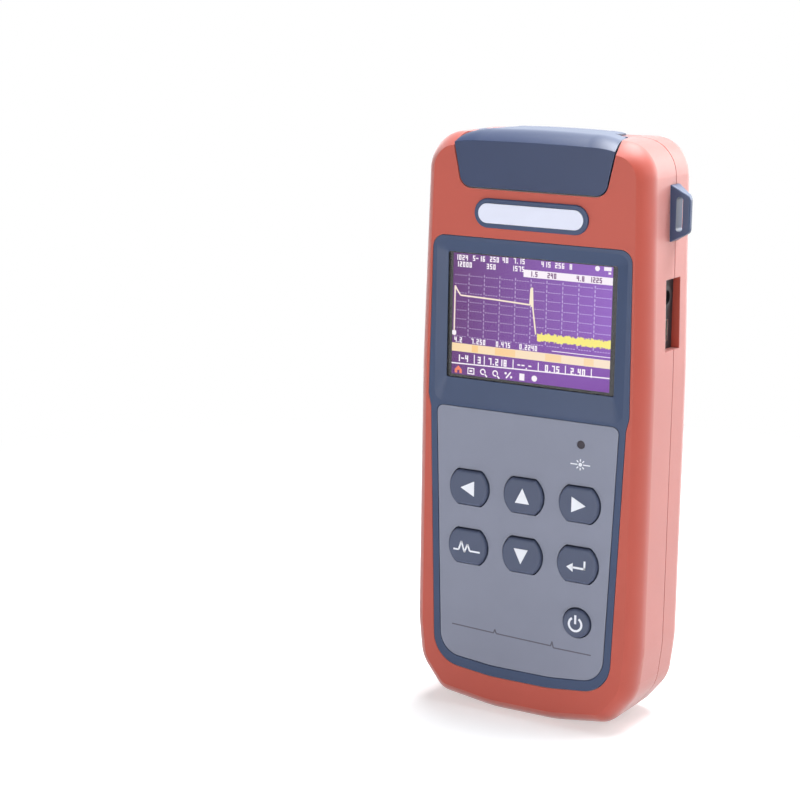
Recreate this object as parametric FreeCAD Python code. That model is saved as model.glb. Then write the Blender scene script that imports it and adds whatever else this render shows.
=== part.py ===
"""Handheld optical time domain reflectometer, as an assembly of its separate pieces.

The instrument stands upright: +Z runs up its length, its front faces -Y and +X is to the
right of someone reading the screen.  The origin is the middle of the flat on its base.
Depths are counted backwards from the front face, and y(depth) turns one into a Y value.
All sizes are millimetres.
"""
import math
import os

import FreeCAD
import Part

V = FreeCAD.Vector

# ---- driving dimensions -------------------------------------------------------------
# Case: two moulded shells that meet at the parting depth.
depth = 44.0                  # front face to back face
parting_depth = 25.5          # front face to the joint between the shells
half_width = 49.8             # the sides run parallel up to taper_start_z
half_width_top = 47.5         # and draw in to this at the shoulders
shoulder_z = 230.5            # top of the orange shoulders
taper_start_z = 0.607 * shoulder_z
side_blend_radius = 300.0     # where the parallel side turns into the taper
wall = 2.5
front_roll = 10.0             # radius of the rounding along the front of sides and base
roll_start = 30.0             # degrees by which the rounding leaves the front face
back_roll = 8.0
top_corner_radius = 14.0
base_flat = 14.0              # half width of the flat that it stands on
base_blend_radius = 60.0
heel_inset = 12.3             # the base rises gently as far as the heel, this far from the side
heel_rise = 3.2
heel_radius = 9.0
cheek_inset = 2.0             # from the heel the corner slants up to the cheek
cheek_rise = 16.0
cheek_radius = 16.0
side_start_z = 33.0           # above this the sides run straight
side_start_radius = 60.0
bevel_height = 5.0            # the front edge of the top lies this far below the shoulders
bevel_roundness = 1.6         # power of the curve from that edge up to the shoulders
groove_width = 0.4            # fine groove that marks the joint of the shells
groove_depth = 0.5

# Hinged dust cover over the optical ports.
cover_height = 20.5           # from its lower edge to the shoulders
cover_base_half = 30.5
cover_top_half = 34.9
cover_taper = 8.0             # from front to hinge the cover gets narrower by this, each side
cover_wall = 2.2
cover_corner_radius = 5.0
crown_height = 1.9            # the middle of the cover stands above the shoulders by this
crown_arch = 2.2              # the crown is higher in the middle than at its ends by this
crown_start = 11.0            # depth at which the cover has reached its full height
crease_drop = 3.7             # the ends of the front crease, below the shoulders
crease_arch = 1.3
arch_knee = 0.66              # share of the half width where the arch starts to fall away
knee_rise = 0.8               # share of the arch that is left at the knee
knee_bulge = (0.62, 0.32)     # shares of the way out and down where the fall bulges most
cover_gap = 0.55              # gap between the cover and the case around it
hinge_depth = 27.5            # hinge axis, behind the front face
hinge_radius = 5.2            # outside of the cover's knuckle
knuckle_length = 4.5
ear_thick = 2.4               # material beside the knuckle that holds a hinge pin
pin_radius = 1.0
pin_running_gap = 0.05        # radial, pin in the cover's knuckle
pin_seat_length = 3.0
pin_end_gap = 0.3

# Port frame and the optical ports under the cover.
tray_wall = 1.8
rim_drop = 2.2                # the tray's rim lies this far under the bevel's front edge
ear_gap = 0.5                 # between the cover's knuckle and the frame's ears
arm_height = 5.7              # the arm that reaches the strap slot, below the shoulders
port_depth = 13.0             # both port axes, behind the front face
otdr_port_x = -13.0
vfl_port_x = 13.0
ferrule_radius = 1.25         # bore of the alignment sleeve for a 2.5 mm ferrule
ferrule_bore_length = 8.0
adapter_barrel_radius = 4.0
vfl_barrel_slimmer = 0.6
adapter_height = 10.5
adapter_flange = 13.5
adapter_flange_thick = 2.2
adapter_shank = 7.0            # below the port frame's floor
adapter_hole_gap = 0.6

# Front bezel, screen window and keypad overlay.
bezel_top_z = 0.8265 * shoulder_z
bezel_base_z = 14.9
bezel_base_half = 13.0        # half width of the level middle of its lower edge
bezel_top_half = 42.6
bezel_waist_half = 43.6
bezel_waist_z = 0.551 * shoulder_z
bezel_step = 1.2              # the bezel steps in by this under the screen
bezel_step_drop = 5.0
bezel_foot_half = 38.9
bezel_foot_rise = 2.8
bezel_thick = 3.7
flange_reach = 1.8            # the bezel's flange hooks behind the case wall by this
flange_thick = 1.2
seam = 0.2                    # fine gap between two fitted mouldings
window_half = 36.4
window_top_z = 0.7991 * shoulder_z
window_height = 49.8
dish_margin = 1.6             # the bezel dips towards the screen from this far inside its edge
dish_depth = 1.1
dish_corner_radius = 4.0
lens_recess = 1.4
lens_thick = 1.0
lens_lap = 1.6                # the lens is wider than the window by this, all round
panel_top_z = 0.5336 * shoulder_z
panel_top_half = 39.6
panel_base_z = 19.4
panel_foot_half = 35.9
panel_foot_rise = 2.2
panel_thick = 0.6
panel_gap = 0.35

# Liquid crystal display module, a 3.5 inch 3:2 panel.
lcd_width = 84.0
lcd_height = 55.0
lcd_thick = 3.2
lcd_room = 0.2

# Keys: discs with a level cut at their top and base.
key_radius = 8.6
key_half_height = 6.95
key_corner_radius = 1.2
key_pitch_x = 24.2
key_upper_z = 0.3948 * shoulder_z
key_pitch_z = 24.0
key_proud = 1.6
key_travel = 0.8
key_gap = 0.45                # dark gap around each key
key_crown_radius = 1.1
key_flange_reach = 1.3
key_flange_thick = 1.0
power_key_x = 24.6
power_key_z = 0.1892 * shoulder_z
power_key_radius = 5.8

# Name plate place, left bare, and the visual fault locator's light.
badge_z = 0.8694 * shoulder_z
badge_half_length = 22.5
badge_height = 7.8
badge_rim = 1.8
badge_thick = 1.0
badge_pocket = 0.6            # depth of the pocket for the plate
badge_plate_proud = 0.2
badge_plate_gap = 0.1
badge_edge_radius = 0.5
led_x = 23.9
led_z = 0.4967 * shoulder_z
led_radius = 1.7

# Boards and modules inside.
board_thick = 1.6
board_corner_radius = 2.0
keypad_board_depth = 9.0
keypad_board_half = 36.0
keypad_board_base_z = 26.0
keypad_board_top_z = panel_top_z - 4.0
keypad_post_inset = 4.0
switch_size = 6.0
switch_case_height = 1.6
switch_stem_radius = 1.7
main_board_depth = 14.0
main_board_half = 37.0
main_board_base_z = 24.0
board_top_gap = 0.6           # from the main board up to the port adapter
main_post_inset = 5.0
post_radius = 2.6
module_half_width = 28.0
module_base_z = 0.486 * shoulder_z
module_gap = 1.5              # between the optical unit and the laser above it
module_thick = 10.0
module_corner_radius = 2.0
vfl_body_radius = 5.0
vfl_collar = 0.8
vfl_collar_length = 3.0
vfl_body_length = 17.0
laser_room = 0.5
spool_radius = 17.0
spool_hub_radius = 9.0
spool_thick = 5.0
spool_cheek = 1.0
spool_groove = 2.5
buzzer_radius = 6.0
buzzer_inset = 8.0            # from the edge of the main board
buzzer_height = 4.5

# Battery and its door in the back.
battery_width = 56.0
battery_height = 74.0
battery_thick = 17.0
battery_corner_radius = 1.5
battery_base_z = 24.0
bay_wall = 1.5
bay_gap = 0.6
door_lip = 4.6
door_thick = 2.0
door_corner_radius = 3.0
door_gap = 0.2
door_ledge = 1.0              # width of the ledge that the door lies on
door_screw_inset = 8.0
label_width = 46.0            # bare place for a rating label, sunk in the back
label_height = 30.0
label_z = 0.56 * shoulder_z
label_sink = 0.3
label_corner_radius = 2.0

# Screws: M3 through the case, M2 elsewhere.
case_screw_inset = 6.5        # the upper screws from the case's sides
case_screw_top_z = 0.8807 * shoulder_z
case_screw_base = (27.0, 11.0)
screw_radius = 1.5
screw_head_radius = 2.8
screw_head_height = 2.4
screw_seat_depth = 8.0        # from the joint of the shells to the seat of the head
screw_end_gap = 0.3
boss_radius = 3.6
boss_gap = 0.4                # boss of the front shell behind the bezel
small_screw_radius = 1.0
small_head_radius = 1.9
small_head_height = 1.2
small_screw_bite = 4.0        # length of small screw in what it holds
head_room = 0.2
recess_share = 0.4            # driver recess, as a share of the head's radius

# Right side: strap lug and the bay with the data and charging sockets.
lug_base_z = 0.8343 * shoulder_z
lug_height = 21.5
lug_reach = 8.7
lug_front_depth = 20.2
lug_root_thick = 7.3
lug_tip_thick = 2.2
lug_shoulder = 4.0            # its ends slope in by this from root to tip
lug_slot_height = 13.2
lug_slot_width = 2.7
lug_bar = 2.9                 # material outside the slot
lug_root = 2.0                # the lug is set into the case by this
lug_edge_radius = 0.6
bay_front_depth = 17.6
bay_back_depth = 30.6
bay_base_z = 0.6521 * shoulder_z
bay_height = 27.7
bay_reach = 3.7               # how deep the socket bay goes into the side
pocket_wall = 1.5
socket_panel_thick = 1.6
socket_length = 7.0
socket_proud = 0.4
socket_fit = 0.15
socket_inset = 7.5            # from an end of the bay to the middle of a socket
usb_half_height = 4.1
usb_half_width = 1.9
usb_shell = 0.4
usb_tongue_inset = 1.4
jack_radius = 2.75
jack_outer_radius = 4.6
jack_pin_radius = 0.65

# Left side: strap slot at the top corner.
slot_front_depth = 18.0
slot_back_depth = 28.5
slot_height = 18.5            # from its ledge to the shoulders
slot_reach = 5.0

# ---- places worked out from the sizes above -----------------------------------------
roll_angle = math.radians(roll_start)
nose_depth = front_roll * math.cos(roll_angle)
front_flat_inset = front_roll * (1 - math.sin(roll_angle))
cover_base_z = shoulder_z - cover_height
cover_slope = (cover_top_half - cover_base_half) / cover_height
crown_z = shoulder_z + crown_height
hinge_z = crown_z - hinge_radius
cover_hinge_half = cover_base_half + cover_slope * (hinge_z - cover_base_z) - cover_taper
knuckle_half = cover_hinge_half - ear_thick
cover_back_depth = hinge_depth - hinge_radius - 2 * ear_gap
tray_rim_z = shoulder_z - bevel_height - rim_drop
ear_depth = hinge_depth - hinge_radius - ear_gap
arm_base_z = shoulder_z - arm_height
window_base_z = window_top_z - window_height
window_mid_z = window_top_z - window_height / 2
lcd_depth = lens_recess + lens_thick + 0.1
key_flange_depth = bezel_thick
switch_top_depth = key_flange_depth + key_flange_thick + key_travel + 0.1
module_depth = main_board_depth + board_thick
standoff_blind = keypad_board_depth + board_thick + 0.6
port_floor_top = cover_base_z - cover_gap + seam + tray_wall
laser_top_z = port_floor_top - adapter_shank
laser_base_z = laser_top_z - vfl_body_length
main_board_top_z = laser_top_z - board_top_gap
module_top_z = laser_base_z - module_gap
battery_front_depth = depth - door_thick - bay_gap - battery_thick
bay_top_z = bay_base_z + bay_height
bay_floor_x = half_width - bay_reach
bay_mid_depth = (bay_front_depth + bay_back_depth) / 2
slot_base_z = shoulder_z - slot_height
slot_floor_x = -(half_width_top - slot_reach)
screw_seat = parting_depth + screw_seat_depth
case_screw_top = (half_width_top - case_screw_inset, case_screw_top_z)
big = 4 * shoulder_z


# ---- shared shapes --------------------------------------------------------------------
def y(depth_from_front):
    """The Y value of a depth behind the front face."""
    return depth_from_front - depth / 2


def rounded_wire(corners, at_depth):
    """A closed wire in the XZ plane through corners given as (x, z, radius)."""
    count = len(corners)
    edges = []
    last_end = None
    first_start = None
    for i in range(count):
        x0, z0 = corners[i - 1][:2]
        x1, z1, radius = corners[i]
        x2, z2 = corners[(i + 1) % count][:2]
        here = V(x1, y(at_depth), z1)
        back = V(x0 - x1, 0, z0 - z1).normalize()
        on = V(x2 - x1, 0, z2 - z1).normalize()
        half_turn = (math.pi - back.getAngle(on)) / 2
        if radius > 0 and half_turn > 1e-6:
            reach = radius * math.tan(half_turn)
            start = here + back * reach
            end = here + on * reach
            inward = (back + on).normalize()
            middle = here + inward * (radius / math.cos(half_turn) - radius)
            arc = Part.Arc(start, middle, end).toShape()
        else:
            start = here
            end = here
            arc = None
        if last_end is not None:
            edges.append(Part.LineSegment(last_end, start).toShape())
        else:
            first_start = start
        if arc is not None:
            edges.append(arc)
        last_end = end
    edges.append(Part.LineSegment(last_end, first_start).toShape())
    return Part.Wire(edges)


def plate(corners, front, thick):
    """A flat piece with a rounded outline, from depth front backwards by thick."""
    return Part.Face(rounded_wire(corners, front)).extrude(V(0, thick, 0))


def mirrored(right_side):
    """The corners of an outline that is the same on both sides, from its right half."""
    left_side = [(-x, z, radius) for x, z, radius in reversed(right_side)]
    return right_side + left_side


def grown(corners, by):
    """The outline moved outwards by the given distance, with its radii kept concentric."""
    count = len(corners)
    area = 0.0
    for i in range(count):
        x0, z0 = corners[i - 1][:2]
        x1, z1 = corners[i][:2]
        area += x0 * z1 - x1 * z0
    side = 1 if area > 0 else -1
    moved = []
    for i in range(count):
        x0, z0 = corners[i - 1][:2]
        x1, z1, radius = corners[i]
        x2, z2 = corners[(i + 1) % count][:2]
        before = V(x1 - x0, 0, z1 - z0).normalize()
        after = V(x2 - x1, 0, z2 - z1).normalize()
        out_before = V(before.z, 0, -before.x) * side
        out_after = V(after.z, 0, -after.x) * side
        corner_way = out_before + out_after
        corner_way = corner_way * (by * 2 / corner_way.Length ** 2)
        turns_out = (before.x * after.z - before.z * after.x) * side > 0
        new_radius = radius + by if turns_out else radius - by
        moved.append((x1 + corner_way.x, z1 + corner_way.z, max(new_radius, 0.05) if radius else 0))
    return moved


def block(x0, x1, front, back, z0, z1):
    return Part.makeBox(x1 - x0, back - front, z1 - z0, V(x0, y(front), z0))


def rod(x, z, front, back, radius):
    """A round bar along the depth of the case."""
    return Part.makeCylinder(radius, back - front, V(x, y(front), z), V(0, 1, 0))


def upright(x, at_depth, z0, z1, radius):
    return Part.makeCylinder(radius, z1 - z0, V(x, y(at_depth), z0), V(0, 0, 1))


def cross_bar(x0, x1, at_depth, z, radius):
    """A round bar along the width of the case."""
    return Part.makeCylinder(radius, x1 - x0, V(x0, y(at_depth), z), V(1, 0, 0))


def side_prism(profile, x0, x1):
    """A prism along the width whose section is given as (depth, z) points."""
    points = [V(x0, y(d), z) for d, z in profile]
    return Part.Face(Part.makePolygon(points + points[:1])).extrude(V(x1 - x0, 0, 0))


def loft(wires, ruled=False):
    return Part.makeLoft(wires, True, ruled)


def save(shape, node):
    shape = shape.removeSplitter()
    if not shape.isValid():
        raise ValueError(node + " is not a valid shape")
    shape.exportStep("parts/" + node + ".step")
    print(node, len(shape.Solids), round(shape.Volume, 1))


# ---- outlines in the front view ---------------------------------------------------------
def case_outline(inset=0.0, top_in=None):
    """The case seen from the front, drawn in all round, or by a distance of its own at the top."""
    outline = grown(mirrored([
        (base_flat, 0, base_blend_radius),
        (half_width - heel_inset, heel_rise, heel_radius),
        (half_width - cheek_inset, cheek_rise, cheek_radius),
        (half_width, side_start_z, side_start_radius),
        (half_width, taper_start_z, side_blend_radius),
        (half_width_top, shoulder_z, top_corner_radius),
    ]), -inset)
    if top_in is None:
        return outline
    return [(x, z + inset - top_in if z > taper_start_z + inset else z, radius)
            for x, z, radius in outline]


def bezel_outline():
    return mirrored([
        (bezel_base_half, bezel_base_z, 60.0),
        (bezel_foot_half, bezel_base_z + bezel_foot_rise, 12.5),
        (bezel_waist_half - bezel_step, bezel_waist_z - bezel_step_drop, 4.0),
        (bezel_waist_half, bezel_waist_z, 4.0),
        (bezel_top_half, bezel_top_z, 5.0),
    ])


def panel_outline():
    return mirrored([
        (bezel_base_half, panel_base_z, 60.0),
        (panel_foot_half, panel_base_z + panel_foot_rise, 9.5),
        (panel_top_half, panel_top_z, 2.8),
    ])


def window_outline():
    return mirrored([
        (window_half, window_base_z, 0.8),
        (window_half, window_top_z, 0.8),
    ])


def cover_half(z, at_depth):
    """Half the cover's width: wider towards the top and narrower towards the hinge."""
    return cover_base_half + cover_slope * (z - cover_base_z) - cover_taper * at_depth / hinge_depth


def notch_outline(at_depth, by):
    """The notch that the dust cover closes, run up clear of the top."""
    above = cover_height
    return grown(mirrored([
        (cover_half(cover_base_z, at_depth), cover_base_z, cover_corner_radius),
        (cover_half(shoulder_z + above, at_depth), shoulder_z + above, 0),
    ]), cover_gap + by)


def notch_solid(front, back, by=0.0):
    """The notch between two depths, grown by a margin all round."""
    return loft([rounded_wire(notch_outline(front, by), front),
                 rounded_wire(notch_outline(back, by), back)], True)


def key_outline(x, z, at_depth, by=0.0):
    """A disc with a level cut at its top and base and small radii where they meet."""
    radius = key_radius + by
    half_h = key_half_height + by
    small = key_corner_radius + by
    centre_z = half_h - small
    centre_x = math.sqrt((radius - small) ** 2 - centre_z ** 2)
    turn = math.atan2(centre_z, centre_x)
    middle = (turn + math.pi / 2) / 2
    side_x = radius * math.cos(turn)
    side_z = radius * math.sin(turn)
    corner_x = centre_x + small * math.cos(middle)
    corner_z = centre_z + small * math.sin(middle)

    def at(px, pz):
        return V(x + px, y(at_depth), z + pz)

    def arc(start, through, end):
        return Part.Arc(at(*start), at(*through), at(*end)).toShape()

    return Part.Wire([
        Part.LineSegment(at(-centre_x, half_h), at(centre_x, half_h)).toShape(),
        arc((centre_x, half_h), (corner_x, corner_z), (side_x, side_z)),
        arc((side_x, side_z), (radius, 0), (side_x, -side_z)),
        arc((side_x, -side_z), (corner_x, -corner_z), (centre_x, -half_h)),
        Part.LineSegment(at(centre_x, -half_h), at(-centre_x, -half_h)).toShape(),
        arc((-centre_x, -half_h), (-corner_x, -corner_z), (-side_x, -side_z)),
        arc((-side_x, -side_z), (-radius, 0), (-side_x, side_z)),
        arc((-side_x, side_z), (-corner_x, corner_z), (-centre_x, half_h)),
    ])


# ---- keys: places and shapes --------------------------------------------------------------
key_places = {
    "key_left": (-key_pitch_x, key_upper_z),
    "key_up": (0.0, key_upper_z),
    "key_right": (key_pitch_x, key_upper_z),
    "key_scan": (-key_pitch_x, key_upper_z - key_pitch_z),
    "key_down": (0.0, key_upper_z - key_pitch_z),
    "key_enter": (key_pitch_x, key_upper_z - key_pitch_z),
    "key_power": (power_key_x, power_key_z),
}


def key_column(name, front, back, by):
    """The prism of one key's outline, grown by a gap, between two depths."""
    x, z = key_places[name]
    if name == "key_power":
        return rod(x, z, front, back, power_key_radius + by)
    return Part.Face(key_outline(x, z, front, by)).extrude(V(0, back - front, 0))


def key(name):
    """A key cap with a soft crown and the flange that keeps it behind the bezel."""
    cap = key_column(name, -key_proud, key_flange_depth + key_flange_thick, 0.0)
    crown = [e for e in cap.Edges if max(v.Y for v in e.Vertexes) < y(-key_proud) + 0.01]
    cap = cap.makeFillet(key_crown_radius, crown)
    flange = key_column(name, key_flange_depth, key_flange_depth + key_flange_thick,
                        key_gap + key_flange_reach)
    return cap.fuse(flange)


# ---- case shells ----------------------------------------------------------------------------
def roll_in(at_depth):
    """How far the front rounding lies inside the full outline at a depth."""
    left = nose_depth - at_depth
    return front_roll - math.sqrt(front_roll ** 2 - left ** 2)


def case_body():
    """The outside of the closed case, with nothing cut out of it."""
    front_sections = []
    for share in (0.0, 0.06, 0.14, 0.25, 0.4, 0.58, 0.78, 1.0):
        at_depth = nose_depth * share
        side_in = roll_in(at_depth)
        top_in = bevel_height * (1 - share) ** bevel_roundness
        front_sections.append(rounded_wire(case_outline(side_in, top_in), at_depth))
    nose = loft(front_sections)
    trunk = plate(case_outline(), nose_depth, depth - nose_depth)
    back_edges = [e for e in trunk.Edges if min(v.Y for v in e.Vertexes) > y(depth) - 0.01]
    trunk = trunk.makeFillet(back_roll, back_edges)
    return nose.fuse(trunk)


def case_cavity():
    """The hollow inside the case, one wall in from the outside."""
    chamfer = front_flat_inset
    face = rounded_wire(case_outline(wall + chamfer), wall)
    full_front = rounded_wire(case_outline(wall), wall + chamfer)
    full_back = rounded_wire(case_outline(wall), depth - wall - chamfer)
    rear = rounded_wire(case_outline(wall + chamfer), depth - wall)
    return loft([face, full_front], True).fuse(
        [loft([full_front, full_back], True), loft([full_back, rear], True)])


def lined(opening, lining):
    """The part of a lining that lies inside the case and outside its opening."""
    return lining.common(body).cut(opening)


def cover_notch():
    """Everything that is cut from both shells for the cover and its hinge."""
    front = notch_solid(-1.0, parting_depth)
    radius = hinge_radius + cover_gap
    half = knuckle_half + cover_gap
    knuckle = cross_bar(-half, half, hinge_depth, hinge_z, radius)
    above = block(-half, half, parting_depth - 1, hinge_depth + radius, hinge_z, big)
    return front.fuse([knuckle, above])


def lean_back_relief():
    """The slope behind the hinge that the opened cover leans over."""
    reach = (hinge_radius + cover_gap + 0.2) / math.sqrt(2)
    rise = 2 * crown_z - shoulder_z - hinge_z
    half = cover_half(shoulder_z, hinge_depth - 1.6 * hinge_radius) + cover_gap
    slope = side_prism([
        (hinge_depth, hinge_z), (hinge_depth + reach, hinge_z - reach),
        (hinge_depth + 2 * reach + rise, hinge_z + rise), (hinge_depth, hinge_z + rise),
    ], -half, half)
    inner = knuckle_half + cover_gap
    ears = [cross_bar(-half, -inner, hinge_depth, hinge_z, hinge_radius),
            cross_bar(inner, half, hinge_depth, hinge_z, hinge_radius)]
    return slope.cut(ears)


def hinge_block():
    """The solid block of the back shell that the hinge notch is cut in."""
    low = hinge_z - hinge_radius - cover_gap - tray_wall
    half = cover_top_half + tray_wall
    return block(-half, half, parting_depth, depth - wall - 0.5, low, big)


def frame_arm(gap=0.0):
    """The port frame's arm, a strip across the top that ends in the strap slot."""
    root = -(knuckle_half + cover_gap)
    strip = block(slot_floor_x, -cover_top_half, slot_front_depth - gap, slot_back_depth + gap,
                  arm_base_z - gap, big)
    link = block(-cover_top_half, root, slot_front_depth - gap, parting_depth - seam + gap,
                 arm_base_z - gap, big)
    return strip.fuse(link)


def port_holes():
    """Clearance for both port adapters through the frame's floor and the shell under it."""
    low = cover_base_z - 5 * tray_wall
    return [upright(x, port_depth, low, port_floor_top + 1, adapter_barrel_radius + adapter_hole_gap)
            for x in (otdr_port_x, vfl_port_x)]


def socket_bay():
    return block(bay_floor_x, big, bay_front_depth, bay_back_depth, bay_base_z, bay_top_z)


def strap_slot():
    return block(-big, slot_floor_x, slot_front_depth, slot_back_depth, slot_base_z, big)


def side_pockets():
    """The walls around the socket bay and the strap slot."""
    t = pocket_wall
    bay_walls = block(bay_floor_x - socket_panel_thick, big, bay_front_depth - t,
                      bay_back_depth + t, bay_base_z - t, bay_top_z + t)
    slot_walls = block(-big, slot_floor_x + t, slot_front_depth - t,
                       slot_back_depth + t, slot_base_z - t, big)
    return [bay_walls, slot_walls]


def socket_panel_seat():
    return block(bay_floor_x - socket_panel_thick - 1, bay_floor_x, bay_front_depth, bay_back_depth,
                 bay_base_z, bay_top_z)


def lug_seat():
    """The hole in the case wall for the strap lug's root."""
    return block(half_width_top - lug_root, big, lug_front_depth, lug_front_depth + lug_root_thick,
                 lug_base_z, lug_base_z + lug_height)


def case_screw_places():
    places = []
    for x, z in (case_screw_top, case_screw_base):
        places += [(x, z), (-x, z)]
    return places


def board_post_places():
    """Posts on the front shell for the top of the main board."""
    x = main_board_half - main_post_inset
    z = main_board_top_z - main_post_inset
    return [(-x, z), (x, z)]


def front_shell():
    half_space = block(-big, big, -1, parting_depth, -big, big)
    shell = body.cut(cavity).common(block(-big, big, -big, parting_depth, -big, big))
    ring = notch_solid(0, parting_depth, tray_wall)
    adds = [lined(notch, ring).common(half_space)]
    for pocket in side_pockets():
        adds.append(pocket.common(body).common(half_space))
    behind_wall = wall - 0.5
    behind_bezel = bezel_thick + boss_gap
    for x, z in case_screw_places():
        start = behind_wall if z > bezel_top_z else behind_bezel
        adds.append(rod(x, z, start, parting_depth, boss_radius).common(body))
        if z < bezel_base_z:
            rib = small_screw_radius
            adds.append(block(x - rib, x + rib, start, parting_depth, wall / 2, z).common(body))
    for x, z in board_post_places():
        adds.append(rod(x, z, behind_wall, main_board_depth, post_radius))
    shell = shell.fuse(adds)
    flange_front = bezel_thick - flange_thick
    cuts = [notch, plate(grown(bezel_outline(), seam), -1, wall + 2),
            plate(grown(bezel_outline(), flange_reach + seam), flange_front, flange_thick + boss_gap),
            socket_bay(), socket_panel_seat(), strap_slot(), lug_seat(), frame_arm(seam),
            groove(parting_depth - groove_width)] + port_holes()
    for x, z in case_screw_places():
        cuts.append(rod(x, z, bezel_thick + boss_gap + wall, parting_depth + 1, screw_radius))
    for x, z in board_post_places():
        cuts.append(rod(x, z, main_board_depth - small_screw_bite - 2, main_board_depth + 1,
                        small_screw_radius))
    return shell.cut(cuts)


def groove(front):
    ring = plate(grown(case_outline(), wall), front, groove_width)
    return ring.cut(plate(case_outline(groove_depth), front, groove_width))


def battery_outline(by):
    half = battery_width / 2 + by
    low = battery_base_z - by
    high = battery_base_z + battery_height + by
    return mirrored([(half, low, battery_corner_radius), (half, high, battery_corner_radius)])


def door_outline(by=0.0):
    half = battery_width / 2 + bay_gap + door_lip + by
    low = battery_base_z - bay_gap - door_lip - by
    high = battery_base_z + battery_height + bay_gap + door_lip + by
    return mirrored([(half, low, door_corner_radius), (half, high, door_corner_radius)])


def door_screw_places():
    z = battery_base_z + battery_height + bay_gap + door_lip / 2
    x = battery_width / 2 - door_screw_inset
    return [(-x, z), (x, z)]


def label_place():
    """The shallow bare place for a rating label in the back."""
    half_h = label_height / 2
    outline = mirrored([(label_width / 2, label_z - half_h, label_corner_radius),
                        (label_width / 2, label_z + half_h, label_corner_radius)])
    return plate(outline, depth - label_sink, big)


def rear_shell():
    half_space = block(-big, big, parting_depth, big, -big, big)
    shell = body.cut(cavity).common(half_space)
    adds = [hinge_block().common(body)]
    for pocket in side_pockets():
        adds.append(pocket.common(body).common(half_space))
    inside_back = depth - 1
    for x, z in case_screw_places():
        adds.append(rod(x, z, parting_depth, inside_back, boss_radius + boss_gap).common(body))
    bay_front = battery_front_depth - bay_wall
    adds.append(plate(battery_outline(bay_gap + bay_wall), bay_front, inside_back - bay_front))
    adds.append(plate(door_outline(door_gap + door_ledge), depth - door_thick - bay_wall, bay_wall + 0.1))
    screw_blind = depth - door_thick - small_screw_bite - 2
    for x, z in door_screw_places():
        adds.append(rod(x, z, screw_blind - 1, inside_back, small_head_radius + boss_gap * 2))
    shell = shell.fuse(adds)
    cuts = [notch, lean_back_relief(), socket_bay(), socket_panel_seat(), strap_slot(), lug_seat(),
            frame_arm(seam), label_place(),
            plate(battery_outline(bay_gap), battery_front_depth, big),
            plate(door_outline(door_gap), depth - door_thick, big)]
    for x, z in case_screw_places():
        cuts.append(rod(x, z, parting_depth - 1, depth + 1, screw_radius + head_room))
        cuts.append(rod(x, z, screw_seat, depth + 1, screw_head_radius + head_room))
    for x, z in door_screw_places():
        cuts.append(rod(x, z, screw_blind, depth, small_screw_radius))
    for side in (-1, 1):
        inner = side * knuckle_half
        outer = side * (knuckle_half + cover_gap + pin_seat_length)
        cuts.append(cross_bar(min(inner, outer), max(inner, outer), hinge_depth, hinge_z, pin_radius))
    return shell.cut(cuts)


def battery_door():
    door = plate(door_outline(), depth - door_thick, door_thick)
    cuts = []
    for x, z in door_screw_places():
        cuts.append(rod(x, z, depth - door_thick - 1, depth + 1, small_screw_radius + head_room))
        cuts.append(rod(x, z, depth - small_head_height, depth + 1, small_head_radius + head_room))
    return door.cut(cuts)


def screw(x, z, head_end, head_height, head_radius, length, radius):
    """A screw driven from the back, its head's outer face at depth head_end."""
    head = rod(x, z, head_end - head_height, head_end, head_radius)
    shank = rod(x, z, head_end - length, head_end - head_height, radius)
    recess = rod(x, z, head_end - head_height * 0.6, head_end + head_height, head_radius * recess_share)
    return head.fuse(shank).cut(recess)


def case_screws():
    head_end = screw_seat + screw_head_height
    length = head_end - bezel_thick - boss_gap - wall - screw_end_gap
    return Part.makeCompound([
        screw(x, z, head_end, screw_head_height, screw_head_radius, length, screw_radius)
        for x, z in case_screw_places()])


def door_screws():
    return Part.makeCompound([
        screw(x, z, depth, small_head_height, small_head_radius, door_thick + small_screw_bite,
              small_screw_radius)
        for x, z in door_screw_places()])


# ---- dust cover and ports ---------------------------------------------------------------------
def cover_section(at_depth, inside=False):
    """The cover in the front view, from its crease at the front to its level crown.

    The inside runs wider and lower than the cover, so that its sides and base are open.
    """
    rise = 1 - max(1 - at_depth / crown_start, 0.0) ** 2
    side_z = shoulder_z - crease_drop + rise * (crease_drop + crown_height - crown_arch)
    arch = crease_arch + rise * (crown_arch - crease_arch)
    low = cover_base_z
    widen = 0.0
    if inside:
        side_z -= cover_wall * (1.35 - 0.35 * rise)
        widen = 3 * cover_wall
        low -= 4 * cover_wall
    side_x = cover_half(side_z, at_depth) + widen
    foot_x = cover_half(low, at_depth) + widen
    knee_x = arch_knee * (side_x - widen)
    knee_z = side_z + arch * knee_rise
    slope_x = knee_x + (side_x - knee_x) * knee_bulge[0]
    slope_z = knee_z - (knee_z - side_z) * knee_bulge[1]
    r = cover_corner_radius
    corner = 0.2 * r

    def at(px, pz):
        return V(px, y(at_depth), pz)

    def arc(start, through, end):
        return Part.Arc(at(*start), at(*through), at(*end)).toShape()

    def line(start, end):
        return Part.LineSegment(at(*start), at(*end)).toShape()

    return Part.Wire([
        arc((-side_x, side_z), (-slope_x, slope_z), (-knee_x, knee_z)),
        arc((-knee_x, knee_z), (0, side_z + arch), (knee_x, knee_z)),
        arc((knee_x, knee_z), (slope_x, slope_z), (side_x, side_z)),
        line((side_x, side_z), (foot_x + cover_slope * r, low + r)),
        arc((foot_x + cover_slope * r, low + r), (foot_x - corner, low + corner), (foot_x - r, low)),
        line((foot_x - r, low), (r - foot_x, low)),
        arc((r - foot_x, low), (corner - foot_x, low + corner), (-foot_x - cover_slope * r, low + r)),
        line((-foot_x - cover_slope * r, low + r), (-side_x, side_z)),
    ])


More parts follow.
